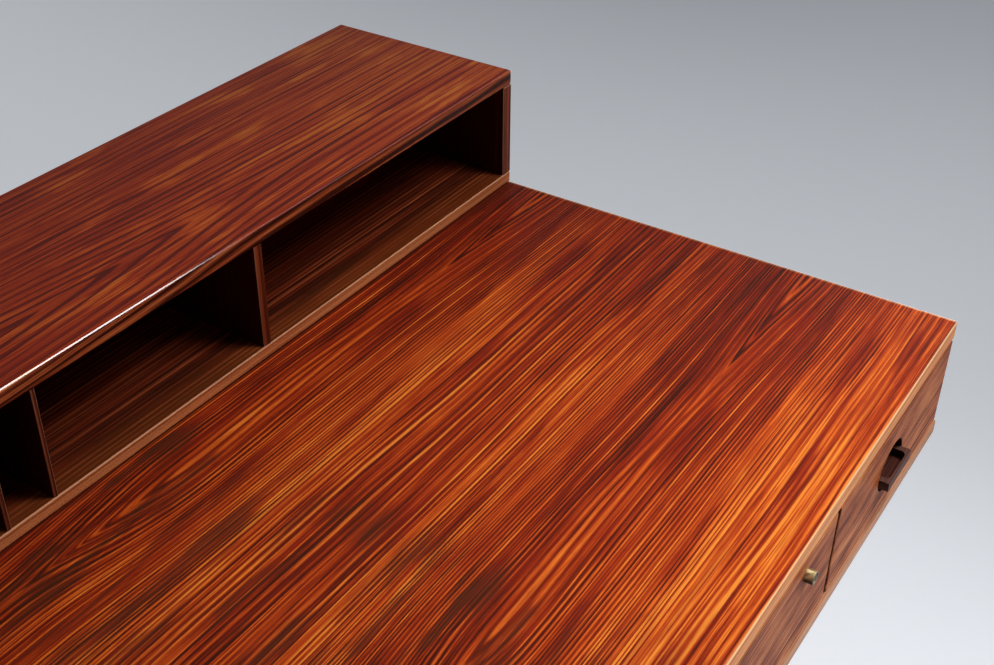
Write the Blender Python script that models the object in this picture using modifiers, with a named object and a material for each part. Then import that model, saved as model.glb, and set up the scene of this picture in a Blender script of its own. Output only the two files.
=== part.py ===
"""Flip-top partners desk in rosewood: a drawer case on two sled frames, with a pigeonhole organizer that lies
along the rear of the writing surface and flips over the rear edge to widen it for a second person.

Metres, +Z up, front towards -Y. The origin is on the floor, under the middle of the overall box.
"""

import math

import bmesh
import bpy
from mathutils import Matrix, Vector

# Gap left between two pieces that touch
SEAT = 0.0003
# How far a cutter runs past the face that it opens
OVERCUT = 0.004

# Writing surface and case
DESK_WIDTH = 1.615
DESK_DEPTH = 0.750
DESK_HEIGHT = 0.725
TOP_THICK = 0.020
TOP_ARRIS = 0.0022
CASE_HEIGHT = 0.135
BOTTOM_THICK = 0.015
BOTTOM_PROUD = 0.0015
SIDE_INSET = 0.003
SIDE_THICK = 0.018
PARTITION_THICK = 0.016
BACK_THICK = 0.012
BACK_INSET = 0.003
PANEL_ARRIS = 0.0008

# Drawers: lipped fronts, half-blind dovetails, bottoms held in grooves
OUTER_FRONT_WIDTH = 0.2935
FRONT_GAP = 0.006
FRONT_HEAD_GAP = 0.001
FRONT_FOOT_GAP = 0.0015
FRONT_THICK = 0.020
LIP_THICK = 0.007
DRAWER_LENGTH = 0.560
DRAWER_PLAY = 0.001
DRAWER_SIDE_THICK = 0.012
DRAWER_SIDE_HEIGHT = 0.092
DRAWER_BACK_THICK = 0.012
DRAWER_BACK_DROP = 0.006
DRAWER_BACK_SETIN = 0.012
DRAWER_BOTTOM_THICK = 0.005
GROOVE_DEPTH = 0.005
GROOVE_HEIGHT = 0.010
DADO_DEPTH = 0.004
TAIL_COUNT = 3
TAIL_WIDTH = 0.015
TAIL_SLOPE = 0.17

# Pulls: an oval recess in the front, crossed by a block that is scooped out behind a thin lip
PULL_HALF_WIDTH = 0.030
PULL_HALF_HEIGHT = 0.0245
PULL_DEPTH = 0.012
PULL_PLATE = 0.003
PULL_PROUD = 0.0095
PULL_LIP = 0.0022
PULL_ABOVE = 0.002
PULL_BELOW = 0.0085
PULL_FLOOR = 0.0025
PULL_DROP = 0.002
PULL_ARM = 0.007
PULL_CORNER = 0.005
PULL_CORNER_STEPS = 4
PULL_SIDES = 40

# Lock of the right centre drawer
LOCK_FROM_FRONT_END = 0.062
LOCK_BELOW_FRONT_HEAD = 0.020
LOCK_PROUD = 0.0075
LOCK_BARREL_RADIUS = 0.0062
LOCK_PLUG_RADIUS = 0.0042
LOCK_PLUG_INSET = 0.0004
LOCK_CASE_WIDTH = 0.034
LOCK_CASE_DEPTH = 0.011
LOCK_CASE_BELOW = 0.015
LOCK_CASE_HEAD_GAP = 0.0005
LOCK_BOLT_WIDTH = 0.012
LOCK_BOLT_THICK = 0.004
LOCK_BOLT_ABOVE_AXIS = 0.0035
LOCK_BOLT_TRAVEL = 0.007
LOCK_CAM_REACH = 0.005
LOCK_CAM_HALF = 0.0015
LOCK_NECK_RADIUS = 0.0012
LOCK_POCKET_BELOW = 0.0065
KEYWAY_HALF_WIDTH = 0.0006
KEYWAY_HALF_HEIGHT = 0.0028
KEYWAY_DEPTH = 0.006
LOCK_SIDES = 24
STRIKE_PLAY = 0.0006
STRIKE_SPARE = 0.002

# Organizer
ORGANIZER_DEPTH = 0.2345
ORGANIZER_HEIGHT = 0.135
ORGANIZER_FLOOR_THICK = 0.0125
ORGANIZER_TOP_THICK = 0.016
ORGANIZER_SIDE_THICK = 0.015
ORGANIZER_BACK_THICK = 0.009
END_CUBBY_WIDTH = 0.3935
THICK_DIVIDER = 0.010
INNER_CUBBY_WIDTH = 0.2465
THIN_DIVIDER = 0.004
LETTER_DIVIDERS = 7
DIVIDER_GROOVE = 0.003
DIVIDER_GROOVE_STOP = 0.008
DIVIDER_SETBACK = 0.0005
FLOOR_ARRIS = 0.0010

# Continuous hinge along the rear edge
HINGE_OFFSET = 0.0005
HINGE_END_GAP = 0.020
KNUCKLE_RADIUS = 0.0025
KNUCKLE_COUNT = 21
KNUCKLE_GAP = 0.0006
KNUCKLE_PLAY = 0.0005
KNUCKLE_SIDES = 12
TAB_INSET = 0.0004
PIN_RADIUS = 0.0012
PIN_PLAY = 0.0004
PIN_SIDES = 8
LEAF_THICK = 0.0012
LEAF_HEIGHT = 0.0105

# Sled frames
FRAME_INSET = 0.190
FOOT_OVERHANG = 0.120
FOOT_HEIGHT = 0.046
FOOT_TOE_HEIGHT = 0.028
FOOT_TOE_LENGTH = 0.110
FOOT_PAD_LENGTH = 0.120
FOOT_RELIEF = 0.004
FRAME_THICK = 0.034
LEG_SPREAD = 0.440
LEG_HEAD_DEPTH = 0.056
LEG_FOOT_DEPTH = 0.042
RAIL_OVERHANG = 0.080
RAIL_HEIGHT = 0.045
TENON_LENGTH = 0.022
TENON_THICK = 0.012
TENON_WIDTH = 0.030
FRAME_ARRIS = 0.003

# Finishes: base colour, roughness, metallic
ROSEWOOD = ((0.260, 0.062, 0.022), 0.32, 0.0)
DARK_ROSEWOOD = ((0.050, 0.016, 0.010), 0.36, 0.0)
EDGE_ROSEWOOD = ((0.300, 0.130, 0.062), 0.40, 0.0)
DRAWER_WOOD = ((0.560, 0.360, 0.200), 0.52, 0.0)
PLYWOOD = ((0.480, 0.270, 0.130), 0.60, 0.0)
BRASS = ((0.520, 0.430, 0.230), 0.36, 1.0)
STEEL = ((0.480, 0.480, 0.470), 0.34, 1.0)

# Places that follow from the sizes
HINGE_REACH = HINGE_OFFSET + KNUCKLE_RADIUS
Y_FRONT = (PULL_PROUD - HINGE_REACH - DESK_DEPTH) / 2
Y_REAR = Y_FRONT + DESK_DEPTH
Y_MIDDLE = (Y_FRONT + Y_REAR) / 2
X_END = DESK_WIDTH / 2
Z_TOP = DESK_HEIGHT
Z_UNDER_TOP = Z_TOP - TOP_THICK
Z_CASE_FOOT = Z_TOP - CASE_HEIGHT
Z_CASE_FLOOR = Z_CASE_FOOT + BOTTOM_THICK
Y_LIP_BACK = Y_FRONT + LIP_THICK
Y_FRONT_BACK = Y_FRONT + FRONT_THICK
Y_BACK_FACE = Y_REAR - BACK_INSET
Y_BACK_INNER = Y_BACK_FACE - BACK_THICK
Z_HINGE = Z_TOP + SEAT / 2
Y_HINGE = Y_REAR + HINGE_OFFSET
Z_ORGANIZER = Z_TOP + SEAT
Z_ORGANIZER_FLOOR = Z_ORGANIZER + ORGANIZER_FLOOR_THICK
Z_ORGANIZER_TOP = Z_ORGANIZER + ORGANIZER_HEIGHT
Z_ORGANIZER_CEILING = Z_ORGANIZER_TOP - ORGANIZER_TOP_THICK
Y_ORGANIZER = Y_REAR - ORGANIZER_DEPTH
HINGE_NOTCH = KNUCKLE_RADIUS + KNUCKLE_PLAY


def clear_scene():
    for obj in list(bpy.data.objects):
        bpy.data.objects.remove(obj, do_unlink=True)


def new_collection(name):
    collection = bpy.data.collections.new(name)
    bpy.context.scene.collection.children.link(collection)
    return collection


clear_scene()
PARTS = new_collection("partners_desk")
CUTTERS = new_collection("cutters")


def joint_empty(name, place, parent=None):
    """An empty on a joint's axis, which carries the pieces that move with the joint."""
    empty = bpy.data.objects.new(name, None)
    PARTS.objects.link(empty)
    empty.location = Vector(place) - (Vector(parent["place"]) if parent else Vector())
    empty.parent = parent
    empty["place"] = place
    return empty


def add_object(name, mesh, carrier, finish=None):
    """Links a mesh made in world coordinates, so that its origin is its carrier's."""
    obj = bpy.data.objects.new(name, mesh)
    mesh.transform(Matrix.Translation(-Vector(carrier["place"])))
    obj.parent = carrier
    if finish:
        PARTS.objects.link(obj)
        mesh.materials.append(material(name, *finish))
    else:
        CUTTERS.objects.link(obj)
        obj.hide_render = True
        obj.display_type = "WIRE"
    return obj


def material(name, colour, roughness, metallic):
    made = bpy.data.materials.new(name)
    made.use_nodes = True
    shader = made.node_tree.nodes["Principled BSDF"]
    shader.inputs["Base Color"].default_value = (*colour, 1.0)
    shader.inputs["Roughness"].default_value = roughness
    shader.inputs["Metallic"].default_value = metallic
    made.diffuse_color = (*colour, 1.0)
    return made


def mesh_from(name, made):
    mesh = bpy.data.meshes.new(name)
    made.to_mesh(mesh)
    made.free()
    return mesh


def box(name, low, high, carrier, finish=None):
    """A board or a cutter between two corners."""
    low, high = Vector(low), Vector(high)
    made = bmesh.new()
    size = Matrix.Diagonal((*(high - low), 1.0))
    bmesh.ops.create_cube(made, size=1.0, matrix=Matrix.Translation((low + high) / 2) @ size)
    return add_object(name, mesh_from(name, made), carrier, finish)


def rod(name, start, end, radius, sides, carrier, finish=None):
    """A round bar along X or Y."""
    start, end = Vector(start), Vector(end)
    turn = (end - start).to_track_quat("Z", "Y").to_matrix().to_4x4()
    made = bmesh.new()
    bmesh.ops.create_cone(
        made, cap_ends=True, segments=sides, radius1=radius, radius2=radius, depth=(end - start).length,
        matrix=Matrix.Translation((start + end) / 2) @ turn,
    )
    return add_object(name, mesh_from(name, made), carrier, finish)


# Where an outline's own axes point when its thickness runs along X, Y or Z
OUTLINE_AXES = {
    "X": ((0, 0, 1), (1, 0, 0), (0, 1, 0)),
    "Y": ((1, 0, 0), (0, 0, -1), (0, 1, 0)),
    "Z": ((1, 0, 0), (0, 1, 0), (0, 0, 1)),
}


def plate(name, outline, low, high, across, carrier, finish=None):
    """A flat outline given thickness from low to high along one axis.

    The outline's points are (Y, Z) across X, (X, Z) across Y, or (X, Y) across Z.
    """
    curve = bpy.data.curves.new(name, "CURVE")
    curve.dimensions = "2D"
    curve.fill_mode = "BOTH"
    curve.extrude = (high - low) / 2
    spline = curve.splines.new("POLY")
    spline.points.add(len(outline) - 1)
    for point, (u, v) in zip(spline.points, outline):
        point.co = (u, v, 0, 1)
    spline.use_cyclic_u = True
    drawn = bpy.data.objects.new(name + "_outline", curve)
    CUTTERS.objects.link(drawn)
    graph = bpy.context.evaluated_depsgraph_get()
    mesh = bpy.data.meshes.new_from_object(drawn.evaluated_get(graph))
    bpy.data.objects.remove(drawn)
    made = bmesh.new()
    made.from_mesh(mesh)
    bmesh.ops.remove_doubles(made, verts=made.verts, dist=1e-6)
    middle = Vector([(low + high) / 2 if axis == across else 0 for axis in "XYZ"])
    made.transform(Matrix.Translation(middle) @ Matrix(OUTLINE_AXES[across]).to_4x4())
    bmesh.ops.recalc_face_normals(made, faces=made.faces)
    bpy.data.meshes.remove(mesh)
    return add_object(name, mesh_from(name, made), carrier, finish)


def boolean(obj, other, operation):
    modifier = obj.modifiers.new(other.name, "BOOLEAN")
    modifier.operation = operation
    modifier.solver = "EXACT"
    modifier.object = other
    return obj


def cut(obj, *cutters):
    for cutter in cutters:
        boolean(obj, cutter, "DIFFERENCE")
    return obj


def join(obj, *others):
    for other in others:
        boolean(obj, other, "UNION")
    return obj


def ease(obj, width, segments=1):
    """Softens the sharp edges that a piece has before its later cuts."""
    modifier = obj.modifiers.new("arris", "BEVEL")
    modifier.width = width
    modifier.segments = segments
    modifier.limit_method = "ANGLE"
    modifier.angle_limit = math.radians(40)
    return obj


def smooth(obj):
    obj.data.shade_smooth()
    obj.data.set_sharp_from_angle(angle=math.radians(40))
    return obj


def arc(centre, radius, start, end, steps):
    """Points of a round stretch of an outline, in degrees."""
    angles = [math.radians(start + (end - start) * i / steps) for i in range(steps + 1)]
    return [(centre[0] + radius * math.cos(a), centre[1] + radius * math.sin(a)) for a in angles]


def oval(centre, half_width, half_height, sides):
    angles = [2 * math.pi * i / sides for i in range(sides)]
    return [(centre[0] + half_width * math.cos(a), centre[1] + half_height * math.sin(a)) for a in angles]


# The drawers' bays

INNER_FRONT_WIDTH = (DESK_WIDTH - 2 * SIDE_INSET - 2 * OUTER_FRONT_WIDTH - 3 * FRONT_GAP) / 2
FRONT_WIDTHS = (OUTER_FRONT_WIDTH, INNER_FRONT_WIDTH, INNER_FRONT_WIDTH, OUTER_FRONT_WIDTH)
DRAWER_NAMES = ("left_drawer", "left_centre_drawer", "right_centre_drawer", "right_drawer")
UPRIGHT_NAMES = ("left_side", "left_partition", "centre_partition", "right_partition", "right_side")
LOCKED_DRAWER = "right_centre_drawer"


def front_spans():
    """Each drawer front's two ends, from left to right."""
    spans = []
    x = SIDE_INSET - X_END
    for width in FRONT_WIDTHS:
        spans.append((x, x + width))
        x += width + FRONT_GAP
    return spans


def upright_spans(spans):
    """The faces of the case's two sides and three partitions, from left to right."""
    gaps = [(left[1] + right[0]) / 2 for left, right in zip(spans, spans[1:])]
    inner = [(x - PARTITION_THICK / 2, x + PARTITION_THICK / 2) for x in gaps]
    outer = X_END - SIDE_INSET
    return [(-outer, SIDE_THICK - outer), *inner, (outer - SIDE_THICK, outer)]


SPANS = front_spans()
UPRIGHTS = upright_spans(SPANS)
Z_FRONT_FOOT = Z_CASE_FLOOR + FRONT_FOOT_GAP
Z_FRONT_HEAD = Z_UNDER_TOP - FRONT_HEAD_GAP
Z_FRONT_MIDDLE = (Z_FRONT_FOOT + Z_FRONT_HEAD) / 2
Z_PULL = Z_FRONT_MIDDLE - PULL_DROP
LOCK_X = SPANS[DRAWER_NAMES.index(LOCKED_DRAWER)][1] - LOCK_FROM_FRONT_END
LOCK_Z = Z_FRONT_HEAD - LOCK_BELOW_FRONT_HEAD
Y_LOCK_CASE = Y_FRONT_BACK + SEAT
Y_BOLT = Y_LOCK_CASE + LOCK_CASE_DEPTH / 2
Z_LOCK_HEAD = Z_FRONT_HEAD - LOCK_CASE_HEAD_GAP


# Case

CASE = joint_empty("case", (0, 0, 0))


def make_desk_top():
    """The writing surface, rebated at the rear for the hinge, with the bolt's mortise underneath."""
    top = box("desk_top", (-X_END, Y_FRONT, Z_UNDER_TOP), (X_END, Y_REAR, Z_TOP), CASE, ROSEWOOD)
    ease(top, TOP_ARRIS, 3)
    cut(top, *hinge_rebates("desk", CASE, -1))
    half = LOCK_BOLT_WIDTH / 2 + STRIKE_PLAY
    thick = LOCK_BOLT_THICK / 2 + STRIKE_PLAY
    head = Z_LOCK_HEAD + LOCK_BOLT_TRAVEL + STRIKE_SPARE
    low = (LOCK_X - half, Y_BOLT - thick, Z_UNDER_TOP - OVERCUT)
    high = (LOCK_X + half, Y_BOLT + thick, head)
    cut(top, box("bolt_mortise", low, high, CASE))


def hinge_rebates(name, carrier, way):
    """Cutters for a leaf's seat and for the knuckles, below (way -1) or above (way 1) the joint line."""
    half = X_END - HINGE_END_GAP + SEAT
    leaf_end = Z_HINGE + way * (LEAF_HEIGHT + SEAT)
    notch_end = Z_HINGE + way * HINGE_NOTCH
    past = Z_HINGE - way * OVERCUT
    y_leaf = Y_REAR - LEAF_THICK - SEAT
    y_notch = Y_HINGE - HINGE_NOTCH
    y_past = Y_REAR + OVERCUT
    cutters = []
    for kind, y, z in (("seat", y_leaf, leaf_end), ("notch", y_notch, notch_end)):
        low = (-half, y, min(z, past))
        high = (half, y_past, max(z, past))
        cutters.append(box(f"{name}_{kind}", low, high, carrier))
    return cutters


def make_case():
    x_bottom = X_END - SIDE_INSET + BOTTOM_PROUD
    low = (-x_bottom, Y_FRONT - BOTTOM_PROUD, Z_CASE_FOOT)
    bottom = box("case_bottom", low, (x_bottom, Y_BACK_FACE, Z_CASE_FLOOR), CASE, EDGE_ROSEWOOD)
    ease(bottom, PANEL_ARRIS)
    z_low = Z_CASE_FLOOR + SEAT
    z_high = Z_UNDER_TOP - SEAT
    y_face = Y_LIP_BACK + SEAT
    for name, (x_low, x_high) in zip(UPRIGHT_NAMES, UPRIGHTS):
        outer = name.endswith("side")
        y_end = Y_BACK_FACE if outer else Y_BACK_INNER - SEAT
        finish = ROSEWOOD if outer else EDGE_ROSEWOOD
        box(name, (x_low, y_face, z_low), (x_high, y_end, z_high), CASE, finish)
    x_inner = UPRIGHTS[-1][0] - SEAT
    box("back_panel", (-x_inner, Y_BACK_INNER, z_low), (x_inner, Y_BACK_FACE, z_high), CASE, ROSEWOOD)


# Drawers

Z_SIDE_FOOT = Z_CASE_FLOOR + SEAT
Z_SIDE_HEAD = Z_SIDE_FOOT + DRAWER_SIDE_HEIGHT
Z_BOTTOM = Z_SIDE_FOOT + GROOVE_HEIGHT
Y_SHOULDER = Y_FRONT_BACK + SEAT
Y_TAIL_TIP = Y_LIP_BACK + SEAT
Y_DRAWER_END = Y_SHOULDER + DRAWER_LENGTH
Y_DRAWER_BACK = Y_DRAWER_END - DRAWER_BACK_SETIN - DRAWER_BACK_THICK


def tail_outline(index, grow=0.0):
    """One dovetail, as (Y, Z) points, wider at its tip. With grow it is the socket round it."""
    middle = Z_SIDE_FOOT + DRAWER_SIDE_HEIGHT * (index + 0.5) / TAIL_COUNT
    root = TAIL_WIDTH / 2
    tip = root + TAIL_SLOPE * (Y_SHOULDER - Y_TAIL_TIP)
    y_root = Y_SHOULDER + (OVERCUT if grow else 0)
    y_tip = Y_TAIL_TIP - grow
    root += grow
    tip += grow
    return [(y_root, middle - root), (y_tip, middle - tip), (y_tip, middle + tip), (y_root, middle + root)]


def side_outline():
    """A drawer side with its row of tails at the front end."""
    points = [(Y_DRAWER_END, Z_SIDE_HEAD), (Y_DRAWER_END, Z_SIDE_FOOT), (Y_SHOULDER, Z_SIDE_FOOT)]
    for index in range(TAIL_COUNT):
        points += tail_outline(index)
    points.append((Y_SHOULDER, Z_SIDE_HEAD))
    return points


def make_drawer(name, span, bay):
    """One lipped drawer: front, two dovetailed sides, back, bottom and pull."""
    carrier = joint_empty(name, ((span[0] + span[1]) / 2, Y_FRONT, Z_FRONT_MIDDLE), CASE)
    x_low = bay[0] + DRAWER_PLAY
    x_high = bay[1] - DRAWER_PLAY
    inner_low = x_low + DRAWER_SIDE_THICK
    inner_high = x_high - DRAWER_SIDE_THICK
    groove_low = inner_low - GROOVE_DEPTH
    groove_high = inner_high + GROOVE_DEPTH
    z_groove = (Z_BOTTOM - SEAT, Z_BOTTOM + DRAWER_BOTTOM_THICK + SEAT)

    front = make_front(name, span, (x_low, x_high), carrier)
    groove = box(
        f"{name}_front_groove", (groove_low, Y_FRONT_BACK - GROOVE_DEPTH, z_groove[0]),
        (groove_high, Y_FRONT_BACK + OVERCUT, z_groove[1]), carrier,
    )
    cut(front, groove)

    past_low = inner_low + OVERCUT
    past_high = inner_high - OVERCUT
    for hand, x_side, x_dado, x_groove in (
        ("left", (x_low, inner_low), (inner_low - DADO_DEPTH, past_low), (groove_low, past_low)),
        ("right", (inner_high, x_high), (past_high, inner_high + DADO_DEPTH), (past_high, groove_high)),
    ):
        side = plate(f"{name}_{hand}_side", side_outline(), *x_side, "X", carrier, DRAWER_WOOD)
        side_groove = box(
            f"{name}_{hand}_groove", (x_groove[0], Y_TAIL_TIP - OVERCUT, z_groove[0]),
            (x_groove[1], Y_DRAWER_END + OVERCUT, z_groove[1]), carrier,
        )
        dado = box(
            f"{name}_{hand}_dado", (x_dado[0], Y_DRAWER_BACK - SEAT, Z_BOTTOM),
            (x_dado[1], Y_DRAWER_BACK + DRAWER_BACK_THICK + SEAT, Z_SIDE_HEAD + OVERCUT), carrier,
        )
        cut(side, side_groove, dado)

    box(
        f"{name}_back", (inner_low - DADO_DEPTH + SEAT, Y_DRAWER_BACK, z_groove[1]),
        (inner_high + DADO_DEPTH - SEAT, Y_DRAWER_BACK + DRAWER_BACK_THICK, Z_SIDE_HEAD - DRAWER_BACK_DROP),
        carrier, DRAWER_WOOD,
    )
    box(
        f"{name}_bottom", (groove_low + SEAT, Y_FRONT_BACK - GROOVE_DEPTH + SEAT, Z_BOTTOM),
        (groove_high - SEAT, Y_DRAWER_END, Z_BOTTOM + DRAWER_BOTTOM_THICK), carrier, PLYWOOD,
    )
    make_pull(name, (x_low + x_high) / 2, carrier)
    return carrier, front


def make_front(name, span, block, carrier):
    """A front board, rebated at both ends into a lip, with sockets for the tails and the pull's recess."""
    high = (span[1], Y_FRONT_BACK, Z_FRONT_HEAD)
    front = box(f"{name}_front", (span[0], Y_FRONT, Z_FRONT_FOOT), high, carrier, ROSEWOOD)
    ease(front, PANEL_ARRIS)
    ends = (
        ("left", (span[0] - OVERCUT, block[0]), (block[0] - OVERCUT, block[0] + DRAWER_SIDE_THICK + SEAT)),
        ("right", (block[1], span[1] + OVERCUT), (block[1] - DRAWER_SIDE_THICK - SEAT, block[1] + OVERCUT)),
    )
    for hand, rebate, socket in ends:
        low = (rebate[0], Y_LIP_BACK, Z_FRONT_FOOT - OVERCUT)
        high = (rebate[1], Y_FRONT_BACK + OVERCUT, Z_FRONT_HEAD + OVERCUT)
        cut(front, box(f"{name}_{hand}_rebate", low, high, carrier))
        for index in range(TAIL_COUNT):
            outline = tail_outline(index, SEAT)
            cut(front, plate(f"{name}_{hand}_socket_{index}", outline, *socket, "X", carrier))
    middle = ((block[0] + block[1]) / 2, Z_PULL)
    recess = oval(middle, PULL_HALF_WIDTH, PULL_HALF_HEIGHT, PULL_SIDES)
    cut(front, plate(f"{name}_recess", recess, Y_FRONT - OVERCUT, Y_FRONT + PULL_DEPTH, "Y", carrier))
    return front


def make_pull(name, x, carrier):
    """An oval plate in the recess and a block across it, scooped from above, cut from one oval block."""
    half_width = PULL_HALF_WIDTH - SEAT
    half_height = PULL_HALF_HEIGHT - SEAT
    y_end = Y_FRONT + PULL_DEPTH - SEAT
    y_plate = y_end - PULL_PLATE
    y_face = Y_FRONT - PULL_PROUD
    block = oval((x, Z_PULL), half_width, half_height, PULL_SIDES)
    pull = smooth(plate(f"{name}_pull", block, y_face, y_end, "Y", carrier, DARK_ROSEWOOD))
    z_above = Z_PULL + PULL_ABOVE
    z_below = Z_PULL - PULL_BELOW
    x_past = half_width + OVERCUT
    z_past = half_height + OVERCUT
    y_past = y_face - OVERCUT
    above = ((x - x_past, y_past, z_above), (x + x_past, y_plate, Z_PULL + z_past))
    below = ((x - x_past, y_past, Z_PULL - z_past), (x + x_past, y_plate, z_below))
    slot_half = half_width - PULL_ARM
    y_inner = y_face + PULL_LIP
    slot = [(x - slot_half, y_plate), (x + slot_half, y_plate)]
    x_round = slot_half - PULL_CORNER
    y_round = y_inner + PULL_CORNER
    slot += arc((x + x_round, y_round), PULL_CORNER, 0, -90, PULL_CORNER_STEPS)
    slot += arc((x - x_round, y_round), PULL_CORNER, -90, -180, PULL_CORNER_STEPS)
    slot.reverse()
    scoop = plate(f"{name}_pull_scoop", slot, z_below + PULL_FLOOR, z_above + OVERCUT, "Z", carrier)
    cut(pull, box(f"{name}_pull_above", *above, carrier), box(f"{name}_pull_below", *below, carrier), scoop)


# Lock

def make_lock(drawer, front):
    """A cylinder lock on the inside of the front, whose bolt rises into the writing surface."""
    hole = LOCK_BARREL_RADIUS + SEAT
    start = (LOCK_X, Y_FRONT - OVERCUT, LOCK_Z)
    end = (LOCK_X, Y_FRONT_BACK + OVERCUT, LOCK_Z)
    cut(front, rod("lock_hole", start, end, hole, LOCK_SIDES, drawer))

    y_case_end = Y_LOCK_CASE + LOCK_CASE_DEPTH
    y_face = Y_FRONT - LOCK_PROUD
    half = LOCK_CASE_WIDTH / 2
    barrel = box(
        "lock_barrel", (LOCK_X - half, Y_LOCK_CASE, LOCK_Z - LOCK_CASE_BELOW),
        (LOCK_X + half, y_case_end, Z_LOCK_HEAD), drawer, BRASS,
    )
    end = (LOCK_X, Y_BOLT, LOCK_Z)
    tube = rod("lock_tube", (LOCK_X, y_face, LOCK_Z), end, LOCK_BARREL_RADIUS, LOCK_SIDES, drawer)
    start = (LOCK_X, y_face - OVERCUT, LOCK_Z)
    bore = rod("lock_bore", start, end, LOCK_PLUG_RADIUS + SEAT, LOCK_SIDES, drawer)
    x_pocket = LOCK_BOLT_WIDTH / 2 + SEAT
    y_pocket = LOCK_BOLT_THICK / 2 + SEAT
    pocket = box(
        "lock_pocket", (LOCK_X - x_pocket, Y_BOLT - y_pocket, LOCK_Z - LOCK_POCKET_BELOW),
        (LOCK_X + x_pocket, Y_BOLT + y_pocket, Z_LOCK_HEAD + OVERCUT), drawer,
    )
    cut(join(barrel, smooth(tube)), smooth(bore), pocket)

    turn = joint_empty("lock_key_turn", (LOCK_X, y_face, LOCK_Z), drawer)
    y_neck = Y_BOLT - y_pocket
    y_cam = LOCK_BOLT_THICK / 2 - SEAT
    plug = rod(
        "lock_plug", (LOCK_X, y_face + LOCK_PLUG_INSET, LOCK_Z), (LOCK_X, y_neck, LOCK_Z),
        LOCK_PLUG_RADIUS, LOCK_SIDES, turn, BRASS,
    )
    neck = rod("lock_neck", (LOCK_X, y_neck - OVERCUT, LOCK_Z), end, LOCK_NECK_RADIUS, LOCK_SIDES, turn)
    cam = box(
        "lock_cam", (LOCK_X - LOCK_CAM_HALF, y_neck + SEAT, LOCK_Z - LOCK_CAM_HALF),
        (LOCK_X + LOCK_CAM_REACH, Y_BOLT + y_cam, LOCK_Z + LOCK_CAM_HALF), turn,
    )
    keyway = box(
        "lock_keyway", (LOCK_X - KEYWAY_HALF_WIDTH, y_face - OVERCUT, LOCK_Z - KEYWAY_HALF_HEIGHT),
        (LOCK_X + KEYWAY_HALF_WIDTH, y_face + KEYWAY_DEPTH, LOCK_Z + KEYWAY_HALF_HEIGHT), turn,
    )
    cut(join(smooth(plug), neck, cam), keyway)

    rise = joint_empty("lock_bolt_rise", (LOCK_X, Y_BOLT, LOCK_Z), drawer)
    bolt_half = LOCK_BOLT_WIDTH / 2
    box(
        "lock_bolt", (LOCK_X - bolt_half, Y_BOLT - LOCK_BOLT_THICK / 2, LOCK_Z + LOCK_BOLT_ABOVE_AXIS),
        (LOCK_X + bolt_half, Y_BOLT + LOCK_BOLT_THICK / 2, Z_LOCK_HEAD), rise, STEEL,
    )


# Organizer

def letter_divider_places():
    """The middles of the thin dividers, spread evenly between the two inner cubbies."""
    cubbies = END_CUBBY_WIDTH + THICK_DIVIDER + INNER_CUBBY_WIDTH
    outermost = X_END - ORGANIZER_SIDE_THICK - cubbies - THIN_DIVIDER / 2
    return [outermost * (2 * i / (LETTER_DIVIDERS - 1) - 1) for i in range(LETTER_DIVIDERS)]


def make_organizer(flip):
    """The pigeonhole box. Its dividers stand in housings that stop short of the front edge."""
    low = (-X_END, Y_ORGANIZER, Z_ORGANIZER)
    floor = box("organizer_floor", low, (X_END, Y_REAR, Z_ORGANIZER_FLOOR), flip, ROSEWOOD)
    low = (-X_END, Y_ORGANIZER, Z_ORGANIZER_CEILING)
    top = box("organizer_top", low, (X_END, Y_REAR, Z_ORGANIZER_TOP), flip, ROSEWOOD)
    ease(floor, FLOOR_ARRIS)
    ease(top, TOP_ARRIS, 3)
    cut(floor, *hinge_rebates("organizer", flip, 1))

    z_low = Z_ORGANIZER_FLOOR + SEAT
    z_high = Z_ORGANIZER_CEILING - SEAT
    y_inner = Y_REAR - ORGANIZER_BACK_THICK
    x_inner = X_END - ORGANIZER_SIDE_THICK
    for end, x_low, x_high in (("left", -X_END, -x_inner), ("right", x_inner, X_END)):
        low = (x_low, Y_ORGANIZER, z_low)
        ease(box(f"organizer_{end}_side", low, (x_high, Y_REAR, z_high), flip, ROSEWOOD), PANEL_ARRIS)
    box("organizer_back", (SEAT - x_inner, y_inner, z_low), (x_inner - SEAT, Y_REAR, z_high), flip, ROSEWOOD)

    y_face = Y_ORGANIZER + DIVIDER_SETBACK
    y_end = y_inner - SEAT
    x_thick = x_inner - END_CUBBY_WIDTH - THICK_DIVIDER / 2
    places = [("organizer_left_divider", -x_thick, THICK_DIVIDER)]
    places += [("organizer_right_divider", x_thick, THICK_DIVIDER)]
    places += [(f"letter_divider_{i + 1}", x, THIN_DIVIDER) for i, x in enumerate(letter_divider_places())]
    z_foot = Z_ORGANIZER_FLOOR - DIVIDER_GROOVE
    z_head = Z_ORGANIZER_CEILING + DIVIDER_GROOVE
    y_stop = Y_ORGANIZER + DIVIDER_GROOVE_STOP
    for name, x, thick in places:
        half = thick / 2
        wide = half + SEAT
        low = (x - half, y_face, z_foot + SEAT)
        divider = box(name, low, (x + half, y_end, z_head - SEAT), flip, ROSEWOOD)
        ease(divider, PANEL_ARRIS)
        for board, groove_low, groove_high, shoulder_low, shoulder_high in (
            (floor, z_foot, Z_ORGANIZER_FLOOR + OVERCUT, z_foot - OVERCUT, z_low),
            (top, Z_ORGANIZER_CEILING - OVERCUT, z_head, z_high, z_head + OVERCUT),
        ):
            groove_end = (x + wide, y_inner, groove_high)
            groove = box(f"{name}_{board.name}_groove", (x - wide, y_stop, groove_low), groove_end, flip)
            cut(board, groove)
            shoulder_start = (x - wide, Y_ORGANIZER - OVERCUT, shoulder_low)
            shoulder_end = (x + wide, y_stop + SEAT, shoulder_high)
            cut(divider, box(f"{name}_{board.name}_shoulder", shoulder_start, shoulder_end, flip))


# Hinge

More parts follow.
